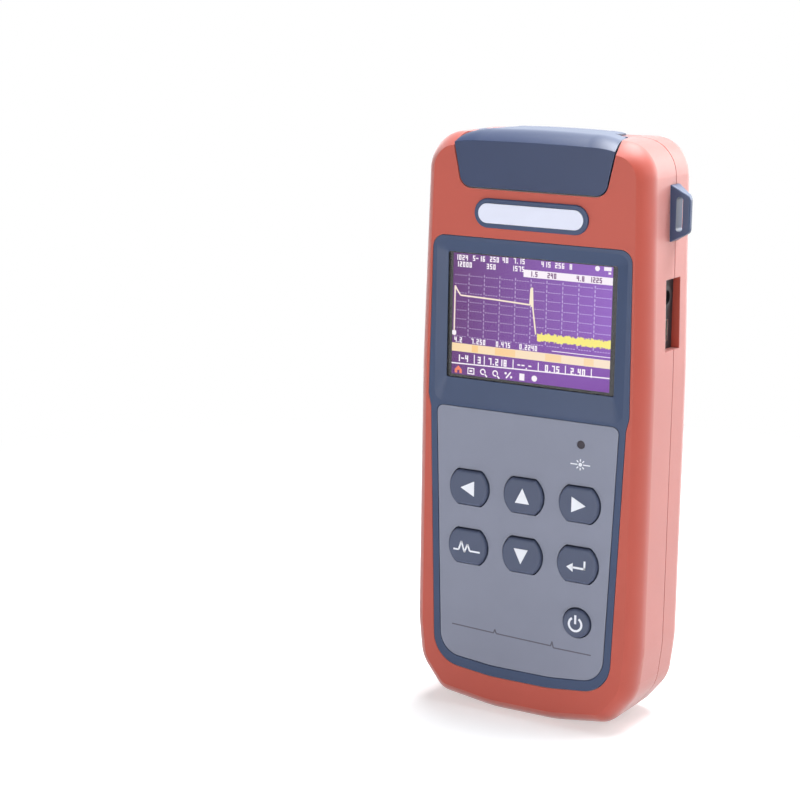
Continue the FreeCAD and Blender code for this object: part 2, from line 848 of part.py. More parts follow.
def cover_envelope(inside=False):
    """The cover's outside, or its inside face run wide and low."""
    start = cover_wall if inside else 0.0
    span = crown_start - start
    nose = loft([cover_section(start + span * share, inside) for share in (0.0, 0.25, 0.5, 0.75, 1.0)])
    back = loft([cover_section(crown_start, inside), cover_section(hinge_depth, inside)], True)
    return nose.fuse(back)


def dust_cover():
    skin = cover_envelope().cut(cover_envelope(inside=True))
    below_skirt = block(-big, big, crown_start / 2, big, -big, hinge_z)
    skin = skin.cut(below_skirt)
    front_part = skin.cut(block(-big, big, cover_back_depth, big, -big, big))
    plate_back = skin.common(block(-knuckle_half, knuckle_half, cover_back_depth, hinge_depth,
                                   hinge_z, big))
    barrel = cross_bar(-knuckle_half, knuckle_half, hinge_depth, hinge_z, hinge_radius)
    crown = Part.Face(cover_section(hinge_depth)).extrude(V(0, hinge_radius, 0))
    crown = crown.fuse(Part.Face(cover_section(hinge_depth)).extrude(V(0, -hinge_radius, 0)))
    base = block(-big, big, 0, depth, -big, hinge_z)
    barrel = barrel.common(crown.fuse(base))
    cover = front_part.fuse([plate_back, barrel])
    inner = knuckle_half - knuckle_length
    cuts = [cross_bar(-inner, inner, hinge_depth, hinge_z, hinge_radius - cover_wall)]
    for side in (-1, 1):
        ends = sorted((side * (knuckle_half - pin_seat_length - pin_end_gap), side * (knuckle_half + 1)))
        cuts.append(cross_bar(ends[0], ends[1], hinge_depth, hinge_z, pin_radius + pin_running_gap))
    return cover.cut(cuts)


def hinge_pins():
    pins = []
    for side in (-1, 1):
        ends = sorted((side * (knuckle_half - pin_seat_length),
                       side * (knuckle_half + cover_gap + pin_seat_length)))
        pins.append(cross_bar(ends[0], ends[1], hinge_depth, hinge_z, pin_radius))
    return Part.makeCompound(pins)


def port_frame():
    """The tray under the cover: floor, side walls and the walls that meet both shells."""
    front = cover_wall + cover_gap
    back = parting_depth - seam
    outside = notch_solid(front, back, -seam)
    inside = notch_solid(front - 1, back - tray_wall, -seam - tray_wall)
    tray = outside.cut(inside).common(block(-big, big, -big, big, -big, tray_rim_z))
    top = block(-big, big, ear_depth, back, arm_base_z - tray_wall, big).common(body)
    ears = top.common(notch_solid(ear_depth, back, -seam))
    clear_half = knuckle_half + cover_gap
    ears = ears.cut(block(-clear_half, clear_half, 0, depth, 0, big))
    cover_room = notch_solid(0, ear_depth).common(block(-big, big, 0, ear_depth, hinge_z - cover_gap, big))
    arm = frame_arm().common(body).cut([inside, cover_room])
    knuckle_room = cross_bar(-clear_half, clear_half, hinge_depth, hinge_z, hinge_radius + cover_gap)
    return tray.fuse([ears, arm]).cut([knuckle_room] + port_holes())


def adapter(x, barrel_radius, shank):
    """A bulkhead adapter: square flange, threaded barrel and the ferrule's sleeve bore."""
    floor = port_floor_top
    half = adapter_flange / 2
    flange = Part.makeBox(adapter_flange, adapter_flange, adapter_flange_thick,
                          V(x - half, y(port_depth) - half, floor))
    uprights = [e for e in flange.Edges if abs(e.tangentAt(e.FirstParameter).z) > 0.99]
    flange = flange.makeFillet(1.2, uprights)
    barrel = upright(x, port_depth, floor - shank, floor + adapter_height, barrel_radius)
    bore = upright(x, port_depth, floor + adapter_height - ferrule_bore_length,
                   floor + adapter_height + 1, ferrule_radius)
    rim = [e for e in barrel.Edges if min(v.Z for v in e.Vertexes) > floor + adapter_height - 0.01]
    barrel = barrel.makeChamfer(0.4, rim)
    return flange.fuse(barrel).cut(bore)


def vfl_module():
    """The red laser behind the second port, a small tube with a collar."""
    tube = upright(vfl_port_x, port_depth, laser_base_z, laser_top_z, vfl_body_radius)
    collar = upright(vfl_port_x, port_depth, laser_top_z - vfl_collar_length, laser_top_z,
                     vfl_body_radius + vfl_collar)
    return tube.fuse(collar)


# ---- front pieces -----------------------------------------------------------------------------
def lcd_block(back, by=0.0):
    """The display module's outline, or with a margin its place in the back of the bezel."""
    half_w = lcd_width / 2 + by
    half_h = lcd_height / 2 + by
    return block(-half_w, half_w, lcd_depth, back, window_mid_z - half_h, window_mid_z + half_h)


def screen_dish():
    """The shallow dip of the bezel's face towards the screen window."""
    half = bezel_top_half - dish_margin
    rim = mirrored([(half, panel_top_z + dish_margin, dish_corner_radius),
                    (half, bezel_top_z - dish_margin, dish_corner_radius)])
    return loft([rounded_wire(rim, 0), rounded_wire(window_outline(), dish_depth)], True)


def bezel_frame():
    bezel = plate(bezel_outline(), 0, bezel_thick)
    flange = plate(grown(bezel_outline(), flange_reach), bezel_thick - flange_thick, flange_thick)
    posts = [rod(x, z, bezel_thick - flange_thick, keypad_board_depth, post_radius)
             for x, z in keypad_post_places()]
    bezel = bezel.fuse([flange] + posts)
    lens = grown(window_outline(), lens_lap + seam)
    cuts = [plate(window_outline(), -1, bezel_thick + 2),
            plate(lens, lens_recess, bezel_thick), lcd_block(big, lcd_room),
            plate(grown(panel_outline(), panel_gap), -1, panel_thick + 1), screen_dish(),
            rod(led_x, led_z, -1, bezel_thick + 1, led_radius)]
    for name in key_places:
        cuts.append(key_column(name, -1, bezel_thick + 1, key_gap))
    for x, z in keypad_post_places():
        cuts.append(rod(x, z, keypad_board_depth - small_screw_bite, keypad_board_depth + 1,
                        small_screw_radius))
    return bezel.cut(cuts)


def keypad_post_places():
    x = keypad_board_half - keypad_post_inset
    places = []
    for z in (keypad_board_base_z + keypad_post_inset, keypad_board_top_z - keypad_post_inset):
        places += [(-x, z), (x, z)]
    return places


def screen_lens():
    return plate(grown(window_outline(), lens_lap), lens_recess, lens_thick)


def lcd_module():
    return lcd_block(lcd_depth + lcd_thick)


def keypad_overlay():
    sheet = plate(panel_outline(), 0, panel_thick)
    cuts = [rod(led_x, led_z, -1, panel_thick + 1, led_radius)]
    for name in key_places:
        cuts.append(key_column(name, -1, panel_thick + 1, key_gap))
    return sheet.cut(cuts)


def vfl_indicator():
    return rod(led_x, led_z, 0.1, keypad_board_depth, led_radius - 0.1)


def pill(half_length, height):
    radius = height / 2 - 0.01
    low = badge_z - height / 2
    return mirrored([(half_length, low, radius), (half_length, low + height, radius)])


def badge_surround():
    rim = plate(pill(badge_half_length + badge_rim, badge_height + 2 * badge_rim), -badge_thick, badge_thick)
    edge = [e for e in rim.Edges if max(v.Y for v in e.Vertexes) < y(-badge_thick) + 0.01]
    rim = rim.makeFillet(badge_edge_radius, edge)
    return rim.cut(plate(pill(badge_half_length, badge_height), -2 * badge_thick, badge_thick + badge_pocket))


def badge_plate():
    return plate(pill(badge_half_length - badge_plate_gap, badge_height - 2 * badge_plate_gap),
                 -badge_thick - badge_plate_proud, badge_pocket + badge_plate_proud)


# ---- boards, modules and battery ----------------------------------------------------------------
def keypad_board():
    half = keypad_board_half
    board = plate(mirrored([(half, keypad_board_base_z, board_corner_radius),
                            (half, keypad_board_top_z, board_corner_radius)]),
                  keypad_board_depth, board_thick)
    return board.cut([rod(x, z, 0, depth, small_screw_radius + head_room) for x, z in keypad_post_places()])


def tact_switches():
    half = switch_size / 2
    switches = []
    for x, z in key_places.values():
        front = keypad_board_depth - switch_case_height
        case = block(x - half, x + half, front, keypad_board_depth, z - half, z + half)
        switches.append(case.fuse(rod(x, z, switch_top_depth, front, switch_stem_radius)))
    return Part.makeCompound(switches)


def board_standoffs():
    """Threaded spacers that hold the keypad board down and carry the main board."""
    front = keypad_board_depth + board_thick
    standoffs = []
    for x, z in keypad_post_places():
        column = rod(x, z, front, main_board_depth, small_head_radius + boss_gap)
        stud_end = keypad_board_depth - small_screw_bite + 1
        column = column.fuse(rod(x, z, stud_end, front, small_screw_radius))
        standoffs.append(column.cut(rod(x, z, standoff_blind, main_board_depth, small_screw_radius)))
    return Part.makeCompound(standoffs)


def board_screws():
    screws = []
    head_end = module_depth + small_head_height
    for x, z in keypad_post_places():
        screws.append(screw(x, z, head_end, small_head_height, small_head_radius,
                            head_end - standoff_blind - head_room, small_screw_radius))
    for x, z in board_post_places():
        screws.append(screw(x, z, head_end, small_head_height, small_head_radius,
                            small_head_height + board_thick + small_screw_bite, small_screw_radius))
    return Part.makeCompound(screws)


def main_board():
    half = main_board_half
    board = plate(mirrored([(half, main_board_base_z, board_corner_radius),
                            (half, main_board_top_z, board_corner_radius)]),
                  main_board_depth, board_thick)
    cuts = [rod(x, z, 0, depth, small_screw_radius + head_room)
            for x, z in board_post_places() + keypad_post_places()]
    room = vfl_body_radius + vfl_collar + laser_room
    cuts.append(block(vfl_port_x - room, vfl_port_x + room, 0, depth, laser_base_z - laser_room, big))
    return board.cut(cuts)


def otdr_module():
    """The optical unit: a screened metal box on the back of the main board."""
    half = module_half_width
    case = block(-half, half, module_depth, module_depth + module_thick, module_base_z, module_top_z)
    edges = [e for e in case.Edges if abs(e.tangentAt(e.FirstParameter).y) > 0.99]
    return case.makeFillet(module_corner_radius, edges)


def fibre_spool():
    """The coil of launch fibre on its spool, flat against the optical unit."""
    front = module_depth + module_thick
    back = front + spool_thick
    z = (module_base_z + module_top_z) / 2
    spool = rod(0, z, front, back, spool_radius)
    wound = rod(0, z, front + spool_cheek, back - spool_cheek, spool_radius + 1).cut(
        rod(0, z, front + spool_cheek, back - spool_cheek, spool_radius - spool_groove))
    return spool.cut([wound, rod(0, z, front - 1, back + 1, spool_hub_radius)])


def buzzer():
    x = -main_board_half + buzzer_radius + buzzer_inset
    z = module_top_z + module_gap + buzzer_radius
    back = module_depth + buzzer_height
    can = rod(x, z, module_depth, back, buzzer_radius)
    return can.cut(rod(x, z, back - 1, back + 1, buzzer_radius / 5))


def battery_pack():
    return plate(battery_outline(0.0), battery_front_depth, battery_thick)


# ---- right side pieces ----------------------------------------------------------------------------
def strap_lug():
    """A tab with a slot for a wrist strap, thick at its root and thin at its tip."""
    low = lug_base_z
    high = lug_base_z + lug_height
    inner = half_width_top - lug_root
    face = half_width_top
    outer = face + lug_reach
    outline = [(inner, low, 0), (face + 1.0, low, 1.0), (outer, low + lug_shoulder, 2.5),
               (outer, high - lug_shoulder, 2.5), (face + 1.0, high, 1.0), (inner, high, 0)]
    tab = plate(outline, lug_front_depth, lug_root_thick)
    root_back = lug_front_depth + lug_root_thick
    tip_back = lug_front_depth + lug_tip_thick
    beyond = V(outer + lug_reach, y(tip_back), low - 1)
    wedge = Part.Face(Part.makePolygon([
        V(face + 1.0, y(root_back), low - 1), V(outer, y(tip_back), low - 1), beyond,
        V(outer + lug_reach, y(root_back + 1), low - 1), V(face + 1.0, y(root_back + 1), low - 1),
        V(face + 1.0, y(root_back), low - 1)])).extrude(V(0, 0, lug_height + 2))
    tab = tab.cut(wedge)
    front_edges = [e for e in tab.Edges if e.BoundBox.YMax < y(lug_front_depth) + 0.01
                   and e.BoundBox.XMax > face + 0.5]
    tab = tab.makeFillet(lug_edge_radius, front_edges)
    slot_x = outer - lug_bar - lug_slot_width
    slot_low = (low + high - lug_slot_height) / 2
    slot_high = slot_low + lug_slot_height
    slot = [(slot_x, slot_low, 1.2), (slot_x + lug_slot_width, slot_low, 1.2),
            (slot_x + lug_slot_width, slot_high, 1.2), (slot_x, slot_high, 1.2)]
    return tab.cut(plate(slot, lug_front_depth - 1, lug_root_thick + 2))


def socket_panel():
    panel = block(bay_floor_x - socket_panel_thick, bay_floor_x, bay_front_depth, bay_back_depth,
                  bay_base_z, bay_top_z)
    return panel.cut([usb_body(socket_fit), jack_body(socket_fit)])


def usb_body(by=0.0):
    z = bay_base_z + socket_inset
    half_w = usb_half_width + by
    half_h = usb_half_height + by
    return block(bay_floor_x - socket_length, bay_floor_x + socket_proud, bay_mid_depth - half_w,
                 bay_mid_depth + half_w, z - half_h, z + half_h)


def usb_socket():
    z = bay_base_z + socket_inset
    half_w = usb_half_width - usb_shell
    half_h = usb_half_height - usb_shell
    back = bay_floor_x - socket_length + 1.5
    mouth = block(back, bay_floor_x + 1, bay_mid_depth - half_w, bay_mid_depth + half_w,
                  z - half_h, z + half_h)
    half_t = usb_half_height - usb_tongue_inset
    tongue = block(back - 0.1, bay_floor_x - 0.6, bay_mid_depth - usb_shell, bay_mid_depth + usb_shell,
                   z - half_t, z + half_t)
    return usb_body().cut(mouth).fuse(tongue)


def jack_body(by=0.0):
    z = bay_top_z - socket_inset
    return cross_bar(bay_floor_x - socket_length, bay_floor_x + socket_proud, bay_mid_depth, z,
                     jack_outer_radius + by)


def dc_jack():
    z = bay_top_z - socket_inset
    back = bay_floor_x - socket_length + 1
    mouth = cross_bar(back, bay_floor_x + 1, bay_mid_depth, z, jack_radius)
    contact = cross_bar(back - 0.2, bay_floor_x - 0.5, bay_mid_depth, z, jack_pin_radius)
    return jack_body().cut(mouth).fuse(contact)


# ---- build every piece ------------------------------------------------------------------------------
os.makedirs("parts", exist_ok=True)
body = case_body()
cavity = case_cavity()
notch = cover_notch()

save(front_shell(), "front_shell")
save(rear_shell(), "rear_shell")
save(battery_door(), "battery_door")
save(case_screws(), "case_screws")
save(door_screws(), "door_screws")
save(dust_cover(), "dust_cover")
save(hinge_pins(), "hinge_pins")
save(port_frame(), "port_frame")
save(adapter(otdr_port_x, adapter_barrel_radius, adapter_shank), "otdr_adapter")
save(adapter(vfl_port_x, adapter_barrel_radius - vfl_barrel_slimmer, adapter_shank), "vfl_adapter")
save(vfl_module(), "vfl_module")
save(bezel_frame(), "bezel_frame")
save(screen_lens(), "screen_lens")
save(lcd_module(), "lcd_module")
save(keypad_overlay(), "keypad_overlay")
save(vfl_indicator(), "vfl_indicator")
save(badge_surround(), "badge_surround")
save(badge_plate(), "badge_plate")
for key_name in key_places:
    save(key(key_name), key_name)
save(keypad_board(), "keypad_board")
save(tact_switches(), "tact_switches")
save(board_standoffs(), "board_standoffs")
save(board_screws(), "board_screws")
save(main_board(), "main_board")
save(otdr_module(), "otdr_module")
save(fibre_spool(), "fibre_spool")
save(buzzer(), "buzzer")
save(battery_pack(), "battery_pack")
save(strap_lug(), "strap_lug")
save(socket_panel(), "socket_panel")
save(usb_socket(), "usb_socket")
save(dc_jack(), "dc_jack")
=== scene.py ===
"""The looks of a handheld fibre test instrument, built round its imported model."""
import math
import random

import bmesh
import bpy
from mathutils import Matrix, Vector


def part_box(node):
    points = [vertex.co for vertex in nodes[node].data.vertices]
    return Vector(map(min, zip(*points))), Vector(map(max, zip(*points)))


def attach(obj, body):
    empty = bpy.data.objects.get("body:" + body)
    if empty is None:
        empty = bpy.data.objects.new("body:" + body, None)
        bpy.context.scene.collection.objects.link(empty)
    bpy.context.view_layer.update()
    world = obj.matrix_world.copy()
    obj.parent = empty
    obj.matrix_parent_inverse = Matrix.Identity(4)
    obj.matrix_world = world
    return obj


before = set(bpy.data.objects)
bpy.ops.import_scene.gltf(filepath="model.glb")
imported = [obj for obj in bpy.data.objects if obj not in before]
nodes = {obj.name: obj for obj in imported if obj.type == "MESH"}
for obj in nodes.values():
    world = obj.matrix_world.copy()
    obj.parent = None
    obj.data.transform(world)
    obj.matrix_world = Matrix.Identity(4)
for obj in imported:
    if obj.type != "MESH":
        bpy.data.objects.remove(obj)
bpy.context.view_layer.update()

# ---- Viewpoint -------------------------------------------------------------------------
# The instrument stands upright and is seen from its right, from a little above its middle.
camera_data = bpy.data.cameras.new("viewpoint")
camera_data.lens = 97.39
camera_data.sensor_width = 36.0
camera_data.clip_start = 0.02
camera = bpy.data.objects.new("viewpoint", camera_data)
camera.location = (0.3779, -0.7508, 0.2970)
camera.rotation_euler = [math.radians(angle) for angle in (78.378, -0.806, 30.988)]
bpy.context.scene.collection.objects.link(camera)
bpy.context.scene.camera = camera
bpy.context.scene.view_settings.view_transform = "Standard"


# ---- Light -----------------------------------------------------------------------------
# A tall window behind the right shoulder, a ceiling light over the top and a weak wash from
# the reader's side.  The room is pale and brighter towards the window, most of all in
# reflections, and plain white where it is seen directly.
def softbox(name, place, target, width, height, watts, colour):
    """A rectangular area lamp that faces a target."""
    data = bpy.data.lights.new(name, "AREA")
    data.shape = "RECTANGLE"
    data.size = width
    data.size_y = height
    data.energy = watts
    data.color = colour
    lamp = bpy.data.objects.new(name, data)
    lamp.location = place
    lamp.rotation_euler = (Vector(target) - Vector(place)).to_track_quat("-Z", "Y").to_euler()
    bpy.context.scene.collection.objects.link(lamp)


middle = (0.0, 0.0, 0.12)
softbox("tall_window", (0.60, 1.30, 0.50), middle, 0.9, 0.9, 7.5, (1.0, 0.97, 0.92))
softbox("ceiling_light", (0.10, 0.27, 1.20), middle, 0.9, 0.6, 26.0, (0.96, 0.98, 1.0))
softbox("front_wash", (0.05, -1.4, 0.32), middle, 1.4, 0.5, 9.8, (1.0, 0.98, 0.97))

world = bpy.data.worlds.new("pale_room")
world.use_nodes = True
bpy.context.scene.world = world
room = world.node_tree
room.nodes.clear()
room_out = room.nodes.new("ShaderNodeOutputWorld")
window_side = (0.60, 0.80, 0.0)
base_strength = 0.18
window_strength = 0.4
window_gleam = 2.6
seen = room.nodes.new("ShaderNodeBackground")
seen.inputs["Color"].default_value = (1.0, 1.0, 1.0, 1.0)
seen.inputs["Strength"].default_value = 1.0
lit = room.nodes.new("ShaderNodeBackground")
lit.inputs["Color"].default_value = (0.90, 0.95, 1.0, 1.0)
sight = room.nodes.new("ShaderNodeTexCoord")
towards = room.nodes.new("ShaderNodeVectorMath")
towards.operation = "DOT_PRODUCT"
towards.inputs[1].default_value = window_side
room.links.new(sight.outputs["Generated"], towards.inputs[0])
behind = room.nodes.new("ShaderNodeMapRange")
behind.interpolation_type = "SMOOTHSTEP"
behind.inputs["From Min"].default_value = -0.2
behind.inputs["From Max"].default_value = 0.8
room.links.new(towards.outputs["Value"], behind.inputs["Value"])
path = room.nodes.new("ShaderNodeLightPath")
mirrored = room.nodes.new("ShaderNodeMath")
mirrored.operation = "MULTIPLY_ADD"
mirrored.inputs[1].default_value = window_gleam
mirrored.inputs[2].default_value = window_strength
room.links.new(path.outputs["Is Glossy Ray"], mirrored.inputs[0])
brightness = room.nodes.new("ShaderNodeMath")
brightness.operation = "MULTIPLY_ADD"
brightness.inputs[2].default_value = base_strength
room.links.new(behind.outputs["Result"], brightness.inputs[0])
room.links.new(mirrored.outputs[0], brightness.inputs[1])
room.links.new(brightness.outputs[0], lit.inputs["Strength"])
choose = room.nodes.new("ShaderNodeMixShader")
room.links.new(path.outputs["Is Camera Ray"], choose.inputs[0])
room.links.new(lit.outputs[0], choose.inputs[1])
room.links.new(seen.outputs[0], choose.inputs[2])
room.links.new(choose.outputs[0], room_out.inputs[0])

# ---- Table top ---------------------------------------------------------------------------
# A plain white table.  It keeps a soft shadow under the instrument and, away from it, fades
# into the white of the room, so that no edge or horizon shows.
table_half = 6.0
shadow_reach = 0.16
shadow_fade = 0.55
table_mesh = bpy.data.meshes.new("table_top")
table_mesh.from_pydata([(-table_half, -table_half, 0), (table_half, -table_half, 0),
                        (table_half, table_half, 0), (-table_half, table_half, 0)], [], [(0, 1, 2, 3)])
table_top = bpy.data.objects.new("table_top", table_mesh)
bpy.context.scene.collection.objects.link(table_top)
table_paint = bpy.data.materials.new("white_table")
table_paint.use_nodes = True
paint = table_paint.node_tree
paint.nodes.clear()
paint_out = paint.nodes.new("ShaderNodeOutputMaterial")
board = paint.nodes.new("ShaderNodeBsdfDiffuse")
board.inputs["Color"].default_value = (0.80, 0.80, 0.80, 1.0)
glow = paint.nodes.new("ShaderNodeEmission")
glow.inputs["Strength"].default_value = 0.45
near = paint.nodes.new("ShaderNodeAddShader")
paint.links.new(board.outputs[0], near.inputs[0])
paint.links.new(glow.outputs[0], near.inputs[1])
white = paint.nodes.new("ShaderNodeEmission")
white.inputs["Strength"].default_value = 1.0
spot = paint.nodes.new("ShaderNodeNewGeometry")
away = paint.nodes.new("ShaderNodeVectorMath")
away.operation = "LENGTH"
paint.links.new(spot.outputs["Position"], away.inputs[0])
fade = paint.nodes.new("ShaderNodeMapRange")
fade.interpolation_type = "SMOOTHSTEP"
fade.inputs["From Min"].default_value = shadow_reach
fade.inputs["From Max"].default_value = shadow_fade
paint.links.new(away.outputs["Value"], fade.inputs["Value"])
shown = paint.nodes.new("ShaderNodeMixShader")
paint.links.new(fade.outputs["Result"], shown.inputs[0])
paint.links.new(near.outputs[0], shown.inputs[1])
paint.links.new(white.outputs[0], shown.inputs[2])
looks = paint.nodes.new("ShaderNodeLightPath")
direct = paint.nodes.new("ShaderNodeMath")
direct.operation = "MAXIMUM"
paint.links.new(looks.outputs["Is Camera Ray"], direct.inputs[0])
paint.links.new(looks.outputs["Is Transmission Ray"], direct.inputs[1])
pick = paint.nodes.new("ShaderNodeMixShader")
paint.links.new(direct.outputs[0], pick.inputs[0])
paint.links.new(board.outputs[0], pick.inputs[1])
paint.links.new(shown.outputs[0], pick.inputs[2])
gleam = paint.nodes.new("ShaderNodeEmission")
gleam.inputs["Strength"].default_value = 0.8
reflect = paint.nodes.new("ShaderNodeMixShader")
paint.links.new(looks.outputs["Is Glossy Ray"], reflect.inputs[0])
paint.links.new(pick.outputs[0], reflect.inputs[1])
paint.links.new(gleam.outputs[0], reflect.inputs[2])
paint.links.new(reflect.outputs[0], paint_out.inputs[0])
table_mesh.materials.append(table_paint)


# ---- Case shells and battery door --------------------------------------------------------
# Two shells of soft matt orange plastic, moulded with a fine grain and screwed together
# from the back.  The battery door is the same moulding stock, let in flush.
def moulded(name, colour, roughness, grain_size, grain_depth, mottling, edge_radius, edge_highlight_colour):
    """A moulded plastic: fine grain, slight mottling and a painted highlight that lightens its rounded edges.
    """
    material = bpy.data.materials.new(name)
    material.use_nodes = True
    tree = material.node_tree
    shader = tree.nodes["Principled BSDF"]
    shader.inputs["Roughness"].default_value = roughness
    shader.inputs["IOR"].default_value = 1.5
    where = tree.nodes.new("ShaderNodeTexCoord")

    cloud = tree.nodes.new("ShaderNodeTexNoise")
    cloud.inputs["Scale"].default_value = 28.0
    cloud.inputs["Detail"].default_value = 4.0
    tree.links.new(where.outputs["Object"], cloud.inputs["Vector"])
    tone = tree.nodes.new("ShaderNodeMapRange")
    tone.inputs["From Min"].default_value = 0.3
    tone.inputs["From Max"].default_value = 0.7
    tone.inputs["To Min"].default_value = 1.0 - mottling
    tone.inputs["To Max"].default_value = 1.0 + mottling
    tree.links.new(cloud.outputs["Fac"], tone.inputs["Value"])
    tinted = tree.nodes.new("ShaderNodeVectorMath")
    tinted.operation = "SCALE"
    tinted.inputs[0].default_value = colour
    tree.links.new(tone.outputs["Result"], tinted.inputs["Scale"])

    grain = tree.nodes.new("ShaderNodeTexNoise")
    grain.inputs["Scale"].default_value = 1.0 / grain_size
    grain.inputs["Detail"].default_value = 2.0
    grain.inputs["Roughness"].default_value = 0.6
    tree.links.new(where.outputs["Object"], grain.inputs["Vector"])

    rounded = tree.nodes.new("ShaderNodeBevel")
    rounded.samples = 6
    rounded.inputs["Radius"].default_value = edge_radius
    bump = tree.nodes.new("ShaderNodeBump")
    bump.inputs["Strength"].default_value = 0.35
    bump.inputs["Distance"].default_value = grain_depth
    tree.links.new(grain.outputs["Fac"], bump.inputs["Height"])
    tree.links.new(rounded.outputs["Normal"], bump.inputs["Normal"])
    tree.links.new(bump.outputs["Normal"], shader.inputs["Normal"])

    plain = tree.nodes.new("ShaderNodeNewGeometry")
    turn = tree.nodes.new("ShaderNodeVectorMath")
    turn.operation = "DOT_PRODUCT"
    tree.links.new(rounded.outputs["Normal"], turn.inputs[0])
    tree.links.new(plain.outputs["Normal"], turn.inputs[1])
    # Painted highlight: where the rounded normal turns away from the flat one, the colour moves in patches
    # towards the lighter edge colour.
    edge_highlight_mask = tree.nodes.new("ShaderNodeMapRange")
    edge_highlight_mask.inputs["From Min"].default_value = 0.985
    edge_highlight_mask.inputs["From Max"].default_value = 0.85
    tree.links.new(turn.outputs["Value"], edge_highlight_mask.inputs["Value"])
    edge_highlighted = tree.nodes.new("ShaderNodeMix")
    edge_highlighted.data_type = "RGBA"
    edge_highlighted.inputs["B"].default_value = (*edge_highlight_colour, 1.0)
    patchy_edge_highlight = tree.nodes.new("ShaderNodeMath")
    patchy_edge_highlight.operation = "MULTIPLY"
    tree.links.new(edge_highlight_mask.outputs["Result"], patchy_edge_highlight.inputs[0])
    tree.links.new(cloud.outputs["Fac"], patchy_edge_highlight.inputs[1])
    tree.links.new(patchy_edge_highlight.outputs[0], edge_highlighted.inputs["Factor"])
    tree.links.new(tinted.outputs["Vector"], edge_highlighted.inputs["A"])
    tree.links.new(edge_highlighted.outputs["Result"], shader.inputs["Base Color"])
    return material


def dress(names, material):
    """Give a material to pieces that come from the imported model."""
    for name in names:
        nodes[name].data.materials.clear()
        nodes[name].data.materials.append(material)


# The last colour given to moulded is the painted highlight on its rounded edges.
orange_plastic = moulded("soft_orange_plastic", (0.485, 0.072, 0.044), 0.45, 0.00035, 0.00006, 0.03,
                         0.0004, (0.58, 0.13, 0.10))
soft_skin = orange_plastic.node_tree.nodes["Principled BSDF"]
soft_skin.inputs["Sheen Weight"].default_value = 0.65
soft_skin.inputs["Sheen Roughness"].default_value = 0.45
dress(["front_shell", "rear_shell", "battery_door"], orange_plastic)

# ---- Blue-grey mouldings -------------------------------------------------------------------
# Bezel, strap lug and name plate surround are one satin blue-grey plastic, moulded smooth.
# The dust cover and the port frame under it take a darker copy of the same plastic, which is painted shade.
blue_grey_plastic = moulded("satin_blue_grey_plastic", (0.038, 0.063, 0.138), 0.38, 0.0005, 0.00003, 0.04,
                            0.0003, (0.09, 0.13, 0.22))
dress(["bezel_frame", "strap_lug", "badge_surround"], blue_grey_plastic)
shaded_cover_plastic = moulded("shaded_blue_grey_plastic", (0.026, 0.044, 0.112), 0.40, 0.0005, 0.00003, 0.04,
                        0.0003, (0.07, 0.10, 0.18))
dress(["dust_cover", "port_frame"], shaded_cover_plastic)

# ---- Name plate ----------------------------------------------------------------------------
# A bare white inlay with a clear gloss, stuck into its surround.
white_inlay = moulded("white_inlay", (0.72, 0.745, 0.88), 0.25, 0.002, 0.00001, 0.01,
                      0.0002, (0.85, 0.85, 0.90))
dress(["badge_plate"], white_inlay)


# ---- Keypad film ---------------------------------------------------------------------------
# A grey film with a fine matt grain, stuck into the bezel's lower pocket.  Under the pilot
# light it is printed with a small beam sign, and near its foot with a thin trace line.
def flat_prints(name, outlines, face_y, ink, body, ink_thick=0.00004):
    """Thin inked shapes on a face that looks forward: closed outlines of (x, z), in metres."""
    mesh = bmesh.new()
    for outline in outlines:
        back = [mesh.verts.new((x, face_y, z)) for x, z in outline]
        front = [mesh.verts.new((x, face_y - ink_thick, z)) for x, z in outline]
        count = len(outline)
        mesh.faces.new(front)
        mesh.faces.new(back[::-1])
        for i in range(count):
            j = (i + 1) % count
            mesh.faces.new((front[i], back[i], back[j], front[j]))
    bmesh.ops.recalc_face_normals(mesh, faces=mesh.faces)
    data = bpy.data.meshes.new(name)
    mesh.to_mesh(data)
    mesh.free()
    piece = bpy.data.objects.new(name, data)
    bpy.context.scene.collection.objects.link(piece)
    data.materials.append(ink)
    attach(piece, body)
    return piece


def bar(x, z, width, height):
    """An upright rectangle round a middle."""
    return [(x - width / 2, z - height / 2), (x + width / 2, z - height / 2),
            (x + width / 2, z + height / 2), (x - width / 2, z + height / 2)]


def stroke(start, end, thick):
    """A straight stroke from one point to another."""
    along = Vector(end) - Vector(start)
    side = Vector((-along.y, along.x)).normalized() * thick / 2
    return [tuple(Vector(start) + side), tuple(Vector(start) - side),
            tuple(Vector(end) - side), tuple(Vector(end) + side)]


def disc(x, z, radius, steps=24):
    """A round spot."""
    return [(x + radius * math.cos(math.tau * i / steps), z + radius * math.sin(math.tau * i / steps))
            for i in range(steps)]


def arc_band(x, z, radius, thick, first, last, steps=28):
    """A curved stroke round a middle, from one angle to another, in degrees."""
    angles = [math.radians(first + (last - first) * i / steps) for i in range(steps + 1)]
    outer = [(x + (radius + thick / 2) * math.cos(a), z + (radius + thick / 2) * math.sin(a)) for a in angles]
    inner = [(x + (radius - thick / 2) * math.cos(a), z + (radius - thick / 2) * math.sin(a)) for a in angles]
    return outer + inner[::-1]


